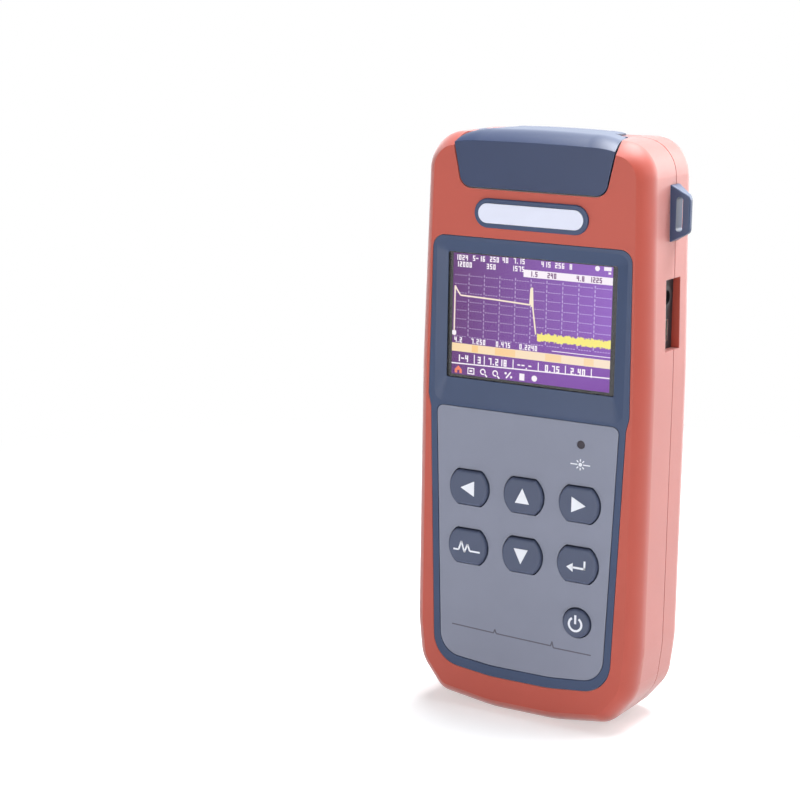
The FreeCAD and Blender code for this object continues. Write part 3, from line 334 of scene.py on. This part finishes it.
film_grey = moulded("matt_grey_film", (0.222, 0.237, 0.312), 0.5, 0.0003, 0.00002, 0.03,
                    0.0001, (0.28, 0.29, 0.34))
dress(["keypad_overlay"], film_grey)
white_ink = moulded("white_ink", (0.78, 0.80, 0.86), 0.5, 0.0004, 0.00001, 0.02, 0.00002, (0.8, 0.8, 0.86))
grey_ink = moulded("dark_grey_ink", (0.105, 0.100, 0.135), 0.5, 0.0004, 0.00001, 0.02, 0.00002,
                   (0.12, 0.12, 0.15))
film_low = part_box("keypad_overlay")[0]
film_y = film_low.y
light_low, light_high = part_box("vfl_indicator")
beam_x = (light_low.x + light_high.x) / 2
beam_drop = 0.0078
beam_z = (light_low.z + light_high.z) / 2 - beam_drop
beam_centre = Vector((beam_x, beam_z))
spark_radius = 0.00075
ray_count = 8
ray_start = 0.0012
ray_end, long_ray_end = 0.0022, 0.0042
ray_thick = 0.00045
beam_sign = [disc(beam_x, beam_z, spark_radius)]
for k in range(ray_count):
    ray_angle = math.tau * k / ray_count
    ray_way = Vector((math.cos(ray_angle), math.sin(ray_angle)))
    reach = long_ray_end if k in (0, ray_count // 2) else ray_end
    beam_sign.append(stroke(beam_centre + ray_way * ray_start, beam_centre + ray_way * reach, ray_thick))
flat_prints("beam_sign", beam_sign, film_y, white_ink, "case")
trace_rise = 0.0133
trace_thick = 0.0005
trace_z = film_low.z + trace_rise
trace_points = [(-0.0310, 0.0011), (-0.0120, 0.0004), (-0.0115, 0.0019), (-0.0108, 0.0003),
                (0.0135, -0.0004), (0.0140, 0.0014), (0.0147, -0.0010), (0.0310, -0.0012)]
trace_line = [stroke((a[0], trace_z + a[1]), (b[0], trace_z + b[1]), trace_thick)
              for a, b in zip(trace_points, trace_points[1:])]
flat_prints("trace_line", trace_line, film_y, grey_ink, "case")

# ---- Rating label ---------------------------------------------------------------------------
# A blank silver-grey foil in the shallow place sunk in the back, with a thin printed border.
silver_foil = moulded("silver_foil", (0.50, 0.51, 0.53), 0.32, 0.003, 0.00001, 0.03,
                      0.0001, (0.56, 0.57, 0.59))
label_sunk = 0.0003
label_thick = 0.00018
label_z = 0.1291
label_half, label_rise, label_radius = 0.0225, 0.0145, 0.0017
corner_steps = 6
label_floor_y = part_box("rear_shell")[1].y - label_sunk
label_outline = []
for x_side, z_side, first in ((1, 1, 0), (-1, 1, 90), (-1, -1, 180), (1, -1, 270)):
    corner_x = x_side * (label_half - label_radius)
    corner_z = label_z + z_side * (label_rise - label_radius)
    for k in range(corner_steps + 1):
        turn_angle = math.radians(first + 90 / corner_steps * k)
        label_outline.append((corner_x + label_radius * math.cos(turn_angle),
                              corner_z + label_radius * math.sin(turn_angle)))
flat_prints("rating_label", [label_outline], label_floor_y, silver_foil, "case", -label_thick)
border_x, border_z = 0.02035, 0.0125
border_long, border_tall = 0.0410, 0.0247
border_line = 0.0003
border_ink = 0.00003
border = [bar(0, label_z + border_z, border_long, border_line),
          bar(0, label_z - border_z, border_long, border_line),
          bar(-border_x, label_z, border_line, border_tall),
          bar(border_x, label_z, border_line, border_tall)]
flat_prints("label_border", border, label_floor_y + label_thick, grey_ink, "case",
            -border_ink)

# ---- Pilot light ---------------------------------------------------------------------------
# A smoked light pipe that fills the hole above the right-hand keys.
smoked_pipe = moulded("smoked_light_pipe", (0.045, 0.038, 0.050), 0.2, 0.001, 0.00001, 0.05,
                      0.0003, (0.08, 0.07, 0.09))
dress(["vfl_indicator"], smoked_pipe)

# ---- Keys ----------------------------------------------------------------------------------
# Seven caps of slate silicone rubber.  Their signs are white ink: arrows, a pulse for a new
# measurement, a return arrow to confirm and the usual sign for power.
slate_rubber = moulded("slate_rubber", (0.070, 0.087, 0.150), 0.5, 0.0002, 0.00003, 0.04,
                       0.0005, (0.13, 0.145, 0.20))
key_names = ["key_left", "key_up", "key_right", "key_scan", "key_down", "key_enter", "key_power"]
dress(key_names, slate_rubber)


def key_middle(name):
    """The x and z of a key's middle."""
    low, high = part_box(name)
    return (low.x + high.x) / 2, (low.z + high.z) / 2


def print_on_key(name, outlines):
    """A white sign on a key's face, which moves with the key."""
    flat_prints(name + "_sign", outlines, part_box(name)[0].y, white_ink, name)


arrow_reach = 0.0033
arrow_tail = 0.85
arrow_half = 0.0031
for name, heading in (("key_left", 180), ("key_up", 90), ("key_right", 0), ("key_down", -90)):
    key_x, key_z = key_middle(name)
    forward = Vector((math.cos(math.radians(heading)), math.sin(math.radians(heading))))
    across = Vector((-forward.y, forward.x))
    centre = Vector((key_x, key_z))
    print_on_key(name, [[tuple(centre + forward * arrow_reach),
                         tuple(centre - forward * arrow_reach * arrow_tail + across * arrow_half),
                         tuple(centre - forward * arrow_reach * arrow_tail - across * arrow_half)]])

key_x, key_z = key_middle("key_scan")
pulse_thick = 0.0007
pulse = [(-0.0060, -0.0015), (-0.0036, -0.0015), (-0.0024, 0.0021), (-0.0010, -0.0023), (0.0004, 0.0012),
         (0.0014, -0.0015), (0.0060, -0.0015)]
print_on_key("key_scan", [stroke((key_x + a[0], key_z + a[1]), (key_x + b[0], key_z + b[1]), pulse_thick)
                          for a, b in zip(pulse, pulse[1:])])

key_x, key_z = key_middle("key_enter")
return_thick = 0.0008
shaft_z = key_z - 0.0009
head_half = 0.0018
print_on_key("key_enter", [
    stroke((key_x + 0.0036, key_z + 0.0022), (key_x + 0.0036, key_z - 0.0011), return_thick),
    stroke((key_x + 0.0040, shaft_z), (key_x - 0.0018, shaft_z), return_thick),
    [(key_x - 0.0042, shaft_z), (key_x - 0.0014, shaft_z + head_half),
     (key_x - 0.0014, shaft_z - head_half)]])

key_x, key_z = key_middle("key_power")
power_radius, power_thick = 0.0027, 0.0009
print_on_key("key_power", [arc_band(key_x, key_z - 0.0002, power_radius, power_thick, 122, 418),
                           bar(key_x, key_z + 0.0017, power_thick, 0.0036)])

# ---- Screen lens ---------------------------------------------------------------------------
# A clear hard-coated acrylic window, set back in the bezel.
clear_acrylic = bpy.data.materials.new("clear_acrylic")
clear_acrylic.use_nodes = True
acrylic_tree = clear_acrylic.node_tree
acrylic = acrylic_tree.nodes["Principled BSDF"]
acrylic.inputs["Transmission Weight"].default_value = 1.0
acrylic.inputs["IOR"].default_value = 1.49
acrylic_where = acrylic_tree.nodes.new("ShaderNodeTexCoord")
smears = acrylic_tree.nodes.new("ShaderNodeTexNoise")
smears.inputs["Scale"].default_value = 60.0
smears.inputs["Detail"].default_value = 5.0
acrylic_tree.links.new(acrylic_where.outputs["Object"], smears.inputs["Vector"])
smear_haze = acrylic_tree.nodes.new("ShaderNodeMapRange")
smear_haze.inputs["From Min"].default_value = 0.45
smear_haze.inputs["From Max"].default_value = 0.75
smear_haze.inputs["To Min"].default_value = 0.01
smear_haze.inputs["To Max"].default_value = 0.05
acrylic_tree.links.new(smears.outputs["Fac"], smear_haze.inputs["Value"])
acrylic_tree.links.new(smear_haze.outputs["Result"], acrylic.inputs["Roughness"])
acrylic_tint = acrylic_tree.nodes.new("ShaderNodeMix")
acrylic_tint.data_type = "RGBA"
acrylic_tint.inputs["A"].default_value = (0.97, 0.97, 0.98, 1.0)
acrylic_tint.inputs["B"].default_value = (1.0, 1.0, 1.0, 1.0)
acrylic_tree.links.new(smears.outputs["Fac"], acrylic_tint.inputs["Factor"])
acrylic_tree.links.new(acrylic_tint.outputs["Result"], acrylic.inputs["Base Color"])
dress(["screen_lens"], clear_acrylic)

# ---- Display -------------------------------------------------------------------------------
# A lit colour display behind the lens.  It shows a backscatter trace of its own: figures,
# a dotted scale, the trace with its end spike and noise floor, a table and a row of signs.
black_glass = moulded("black_display_glass", (0.012, 0.011, 0.016), 0.2, 0.002, 0.00001, 0.05,
                      0.0001, (0.02, 0.02, 0.03))
dress(["lcd_module"], black_glass)
lens_low, lens_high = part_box("screen_lens")
lcd_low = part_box("lcd_module")[0]
lens_lap = 0.0016
dark_left, dark_right, dark_top, dark_foot = 0.0017, 0.0024, 0.0006, 0.0012
window_left, window_right = lens_low.x + lens_lap, lens_high.x - lens_lap
lit_left = window_left + dark_left
lit_width = window_right - dark_right - lit_left
lit_top = lens_high.z - lens_lap - dark_top
lit_height = lit_top - (lens_low.z + lens_lap) - dark_foot
layer_count = 8
layer = (lcd_low.y - lens_high.y) / layer_count


def lit_ink(name, left, right, low_right, strength):
    """Lit colours that run across the picture, with their own tint in its lower right."""
    material = bpy.data.materials.new(name)
    material.use_nodes = True
    tree = material.node_tree
    tree.nodes.clear()
    out = tree.nodes.new("ShaderNodeOutputMaterial")
    shine = tree.nodes.new("ShaderNodeEmission")
    shine.inputs["Strength"].default_value = strength
    where = tree.nodes.new("ShaderNodeTexCoord")
    parts = tree.nodes.new("ShaderNodeSeparateXYZ")
    tree.links.new(where.outputs["Object"], parts.inputs[0])
    across = tree.nodes.new("ShaderNodeMapRange")
    across.inputs["From Min"].default_value = lit_left
    across.inputs["From Max"].default_value = lit_left + lit_width
    tree.links.new(parts.outputs["X"], across.inputs["Value"])
    down = tree.nodes.new("ShaderNodeMapRange")
    down.inputs["From Min"].default_value = lit_top - 0.5 * lit_height
    down.inputs["From Max"].default_value = lit_top - lit_height
    tree.links.new(parts.outputs["Z"], down.inputs["Value"])
    corner = tree.nodes.new("ShaderNodeMath")
    corner.operation = "MULTIPLY"
    tree.links.new(across.outputs["Result"], corner.inputs[0])
    tree.links.new(down.outputs["Result"], corner.inputs[1])
    sideways = tree.nodes.new("ShaderNodeMix")
    sideways.data_type = "RGBA"
    sideways.inputs["A"].default_value = (*left, 1.0)
    sideways.inputs["B"].default_value = (*right, 1.0)
    tree.links.new(across.outputs["Result"], sideways.inputs["Factor"])
    cornered = tree.nodes.new("ShaderNodeMix")
    cornered.data_type = "RGBA"
    cornered.inputs["B"].default_value = (*low_right, 1.0)
    tree.links.new(corner.outputs[0], cornered.inputs["Factor"])
    tree.links.new(sideways.outputs["Result"], cornered.inputs["A"])
    tree.links.new(cornered.outputs["Result"], shine.inputs["Color"])
    tree.links.new(shine.outputs[0], out.inputs[0])
    return material


def on_picture(u, v):
    """A place on the picture: u from its left edge, v down from its top edge, both 0 to 1."""
    return lit_left + u * lit_width, lit_top - v * lit_height


def panel(left, top, right, bottom):
    """A rectangle on the picture, its sides given from 0 to 1."""
    return [on_picture(left, bottom), on_picture(right, bottom),
            on_picture(right, top), on_picture(left, top)]


SEGMENTS = {"0": "abcdef", "1": "bc", "2": "abged", "3": "abgcd", "4": "fgbc", "5": "afgcd",
            "6": "afgedc", "7": "abc", "8": "abcdefg", "9": "abcdfg", "-": "g", ".": ".", " ": ""}


def figures(text, left, top, height, slim=0.5):
    """Plain numerals made of bars, from the left edge of the first one."""
    high = height * lit_height
    wide = high * slim
    thick = high * 0.20
    x, z = on_picture(left, top)
    shapes = []
    for sign in text:
        spots = {"a": bar(x + wide / 2, z - thick / 2, wide, thick),
                 "g": bar(x + wide / 2, z - high / 2, wide, thick),
                 "d": bar(x + wide / 2, z - high + thick / 2, wide, thick),
                 "f": bar(x + thick / 2, z - high / 4, thick, high / 2),
                 "b": bar(x + wide - thick / 2, z - high / 4, thick, high / 2),
                 "e": bar(x + thick / 2, z - high * 0.75, thick, high / 2),
                 "c": bar(x + wide - thick / 2, z - high * 0.75, thick, high / 2),
                 ".": bar(x + thick * 0.6, z - high + thick / 2, thick, thick)}
        shapes += [spots[part] for part in SEGMENTS[sign]]
        x += thick * 2.2 if sign == "." else wide + thick * 0.9
    return shapes


def show(name, shapes, height, glow):
    """Shapes on one of the thin layers over the display's face, the first layer lowest."""
    flat_prints(name, shapes, lcd_low.y - height * layer, glow, "case", 0.8 * layer)


picture_glow = lit_ink("purple_picture", (0.118, 0.018, 0.175), (0.295, 0.115, 0.560),
                       (0.200, 0.045, 0.37), 1.0)
show("display_picture", [panel(0, 0, 1, 1)], 1, picture_glow)

grid_glow = lit_ink("pale_grid", (0.46, 0.33, 0.56), (0.66, 0.54, 0.90), (0.62, 0.44, 0.80), 1.0)
grid_top, grid_bottom = 0.16, 0.69
columns = [0.103 + 0.099 * k for k in range(9)]
rows = [0.18 + 0.072 * k for k in range(8)]
upright_dashes, level_dashes = 15, 60
grid = []
for u in columns:
    for dash in range(upright_dashes):
        v = grid_top + (grid_bottom - grid_top) * dash / upright_dashes
        grid.append(panel(u - 0.0028, v, u + 0.0028, v + 0.022))
for v in rows:
    for dash in range(level_dashes):
        u = 0.012 + dash * 0.0165
        if min(abs(u + 0.005 - column) for column in columns) > 0.009:
            grid.append(panel(u, v - 0.0030, u + 0.0105, v + 0.0030))
show("display_grid", grid, 2, grid_glow)

trace_glow = lit_ink("pale_trace", (1.0, 0.82, 0.72), (1.0, 0.93, 0.60), (1.0, 0.93, 0.60), 1.0)
fibre = [(0.012, 0.68), (0.014, 0.27), (0.024, 0.295), (0.050, 0.345), (0.26, 0.352), (0.495, 0.365),
         (0.499, 0.235), (0.508, 0.226), (0.514, 0.39), (0.536, 0.60)]
trace_line_thick = 0.0006
trace = [stroke(on_picture(*a), on_picture(*b), trace_line_thick) for a, b in zip(fibre, fibre[1:])]
trace.append(panel(0.499, 0.240, 0.512, 0.380))
show("display_trace", trace, 3, trace_glow)

noise_glow = lit_ink("yellow_noise", (0.95, 0.80, 0.20), (1.0, 0.90, 0.22), (1.0, 0.86, 0.20), 1.0)
jitter = random.Random(5)
noise = []
noise_steps = 56
noise_start = 0.545
noise_step = (1.0 - noise_start) / noise_steps
for k in range(noise_steps):
    u = noise_start + (1.0 - noise_start) * k / noise_steps
    top = 0.580 + 0.018 * jitter.random()
    bottom = 0.642 + 0.014 * jitter.random()
    noise.append(panel(u, top, u + noise_step, bottom))
show("display_noise", noise, 3, noise_glow)

band_glow = lit_ink("peach_table", (1.0, 0.74, 0.42), (1.0, 0.84, 0.66), (1.0, 0.80, 0.62), 1.0)
show("display_table", [panel(0, 0.742, 1, 0.810)], 3, band_glow)
cell_glow = lit_ink("amber_cells", (1.0, 0.60, 0.22), (1.0, 0.74, 0.45), (1.0, 0.74, 0.45), 1.0)
show("display_cells", [panel(0.13, 0.747, 0.17, 0.805), panel(0.28, 0.747, 0.41, 0.805),
                       panel(0.60, 0.747, 0.70, 0.805), panel(0.84, 0.747, 0.90, 0.805)], 4, cell_glow)

pale_glow = lit_ink("pale_figures", (1.0, 0.93, 1.0), (1.0, 0.92, 1.0), (1.0, 0.94, 1.0), 1.0)
small_figure, large_figure, dark_figure = 0.044, 0.056, 0.042
words = []
for text, left, top in (("1024", 0.015, 0.013), ("5-16", 0.125, 0.010), ("250", 0.235, 0.006),
                        ("40", 0.315, 0.003), ("7.15", 0.385, 0.0), ("12000", 0.02, 0.068),
                        ("350", 0.215, 0.066), ("1575", 0.375, 0.062), ("415", 0.56, 0.007),
                        ("256", 0.645, 0.007), ("8", 0.735, 0.007), ("4.2", 0.015, 0.692),
                        ("7.250", 0.125, 0.692), ("0.475", 0.285, 0.692), ("0.2240", 0.435, 0.692)):
    words += figures(text, left, top, small_figure)
for text, left in (("1-4", 0.035), ("3", 0.17), ("7.218", 0.240), ("--.-", 0.425), ("0.75", 0.60),
                   ("2.40", 0.76)):
    words += figures(text, left, 0.836, large_figure)
words += [panel(u, 0.825, u + 0.006, 0.898) for u in (0.145, 0.210, 0.395, 0.555, 0.725, 0.885)]
words.append([on_picture(0.0, 0.916), on_picture(1.0, 0.890), on_picture(1.0, 0.880), on_picture(0.0, 0.906)])
words += [panel(0.64, 0.716, 1.0, 0.722), panel(0.0, 0.64, 0.026, 0.675), panel(0.45, 0.085, 1.0, 0.145)]
words += [disc(*on_picture(0.905, 0.022), 0.0010), panel(0.945, 0.004, 0.990, 0.034),
          panel(0.972, 0.044, 0.988, 0.060)]
show("display_words", words, 4, pale_glow)
dark_glow = lit_ink("dark_figures", (0.16, 0.05, 0.18), (0.20, 0.07, 0.22), (0.20, 0.07, 0.22), 1.0)
dark_words = []
for text, left in (("1.5", 0.49), ("240", 0.60), ("4.8", 0.78), ("1225", 0.86)):
    dark_words += figures(text, left, 0.094, dark_figure)
show("display_dark_words", dark_words, 5, dark_glow)

# The row of signs at the foot: a house, a framed page, two magnifiers, a slant, a page, a disc.
coral_glow = lit_ink("coral_signs", (0.95, 0.22, 0.12), (0.95, 0.22, 0.12), (0.95, 0.22, 0.12), 1.0)
house_x, house_z = on_picture(0.022, 0.990)
house_wide, house_high = 0.046 * lit_width, 0.062 * lit_height
house = [(0, 0), (0.34, 0), (0.34, 0.4), (0.66, 0.4), (0.66, 0), (1, 0), (1, 0.5), (0.5, 1), (0, 0.5)]
house_outline = [(house_x + a * house_wide, house_z + b * house_high) for a, b in house]
show("display_house", [house_outline], 5, coral_glow)
signs = [panel(0.105, 0.935, 0.150, 0.944), panel(0.105, 0.981, 0.150, 0.990),
         panel(0.105, 0.944, 0.111, 0.981), panel(0.144, 0.944, 0.150, 0.981),
         panel(0.118, 0.955, 0.137, 0.970)]
for u in (0.205, 0.285):
    x, z = on_picture(u, 0.957)
    signs += [arc_band(x, z, 0.0010, 0.0005, -30, 300),
              stroke((x + 0.0009, z - 0.0009), (x + 0.0019, z - 0.0019), 0.0006)]
signs += [stroke(on_picture(0.355, 0.985), on_picture(0.385, 0.932), 0.0006),
          disc(*on_picture(0.352, 0.945), 0.0005), disc(*on_picture(0.388, 0.973), 0.0005),
          panel(0.440, 0.932, 0.472, 0.988), disc(*on_picture(0.535, 0.960), 0.0012)]
show("display_signs", signs, 5, pale_glow)


# ---- Metal parts: adapters, laser, sockets, screws, pins, standoffs, screening can -----------
# Nickel-plated brass for the optical parts and the data socket, zinc-plated steel for the
# fasteners and tin plate for the optical unit's can, each with fine turning or rolling marks.
def metal(name, colour, roughness, mark_size, marks_along):
    """A bare metal with fine marks that run along one axis: 0, 1 or 2 for x, y or z."""
    material = bpy.data.materials.new(name)
    material.use_nodes = True
    tree = material.node_tree
    shader = tree.nodes["Principled BSDF"]
    shader.inputs["Metallic"].default_value = 1.0
    where = tree.nodes.new("ShaderNodeTexCoord")
    squeeze = tree.nodes.new("ShaderNodeMapping")
    squeeze.inputs["Scale"].default_value = [12.0 if axis != marks_along else 1.0 for axis in range(3)]
    tree.links.new(where.outputs["Object"], squeeze.inputs["Vector"])
    marks = tree.nodes.new("ShaderNodeTexNoise")
    marks.inputs["Scale"].default_value = 1.0 / mark_size
    marks.inputs["Detail"].default_value = 3.0
    tree.links.new(squeeze.outputs["Vector"], marks.inputs["Vector"])
    gloss = tree.nodes.new("ShaderNodeMapRange")
    gloss.inputs["To Min"].default_value = roughness * 0.75
    gloss.inputs["To Max"].default_value = roughness * 1.3
    tree.links.new(marks.outputs["Fac"], gloss.inputs["Value"])
    tree.links.new(gloss.outputs["Result"], shader.inputs["Roughness"])
    tone = tree.nodes.new("ShaderNodeMix")
    tone.data_type = "RGBA"
    tone.inputs["A"].default_value = (*[c * 0.86 for c in colour], 1.0)
    tone.inputs["B"].default_value = (*colour, 1.0)
    tree.links.new(marks.outputs["Fac"], tone.inputs["Factor"])
    tree.links.new(tone.outputs["Result"], shader.inputs["Base Color"])
    bump = tree.nodes.new("ShaderNodeBump")
    bump.inputs["Strength"].default_value = 0.2
    bump.inputs["Distance"].default_value = 0.00002
    tree.links.new(marks.outputs["Fac"], bump.inputs["Height"])
    tree.links.new(bump.outputs["Normal"], shader.inputs["Normal"])
    return material


nickel = metal("turned_nickel", (0.66, 0.65, 0.62), 0.24, 0.004, 0)
zinc_steel = metal("zinc_steel", (0.58, 0.60, 0.63), 0.33, 0.003, 1)
tin_plate = metal("tin_plate", (0.62, 0.64, 0.66), 0.30, 0.012, 2)
dress(["otdr_adapter", "vfl_adapter", "vfl_module", "usb_socket"], nickel)
dress(["case_screws", "door_screws", "board_screws", "board_standoffs", "hinge_pins"], zinc_steel)
dress(["otdr_module"], tin_plate)

# ---- Black mouldings -----------------------------------------------------------------------
# Socket panel, charging socket, key switches, buzzer and fibre spool are black glass-filled
# nylon straight from the mould.
black_nylon = moulded("black_nylon", (0.018, 0.018, 0.021), 0.45, 0.0003, 0.00004, 0.06,
                      0.0002, (0.035, 0.035, 0.04))
dress(["socket_panel", "dc_jack", "tact_switches", "buzzer", "fibre_spool"], black_nylon)

# ---- Circuit boards ------------------------------------------------------------------------
# Glass epoxy under green solder resist, with paler tracks that run square to each other.
resist_green = bpy.data.materials.new("green_circuit_board")
resist_green.use_nodes = True
board_tree = resist_green.node_tree
board_shader = board_tree.nodes["Principled BSDF"]
board_shader.inputs["Roughness"].default_value = 0.3
board_where = board_tree.nodes.new("ShaderNodeTexCoord")
board_turn = board_tree.nodes.new("ShaderNodeMapping")
board_turn.inputs["Rotation"].default_value = (math.radians(90), 0, 0)
board_tree.links.new(board_where.outputs["Object"], board_turn.inputs["Vector"])
tracks = board_tree.nodes.new("ShaderNodeTexBrick")
tracks.inputs["Scale"].default_value = 160.0
tracks.inputs["Mortar Size"].default_value = 0.06
tracks.inputs["Color1"].default_value = (0.010, 0.115, 0.045, 1.0)
tracks.inputs["Color2"].default_value = (0.014, 0.135, 0.055, 1.0)
tracks.inputs["Mortar"].default_value = (0.040, 0.230, 0.085, 1.0)
board_tree.links.new(board_turn.outputs["Vector"], tracks.inputs["Vector"])
board_tree.links.new(tracks.outputs["Color"], board_shader.inputs["Base Color"])
board_bump = board_tree.nodes.new("ShaderNodeBump")
board_bump.inputs["Distance"].default_value = 0.00003
board_tree.links.new(tracks.outputs["Fac"], board_bump.inputs["Height"])
board_tree.links.new(board_bump.outputs["Normal"], board_shader.inputs["Normal"])
dress(["main_board", "keypad_board"], resist_green)

# ---- Battery pack --------------------------------------------------------------------------
# Flat cells in blue shrink wrap.
shrink_wrap = moulded("blue_shrink_wrap", (0.020, 0.075, 0.260), 0.22, 0.004, 0.00012, 0.08,
                      0.0006, (0.05, 0.13, 0.34))
dress(["battery_pack"], shrink_wrap)
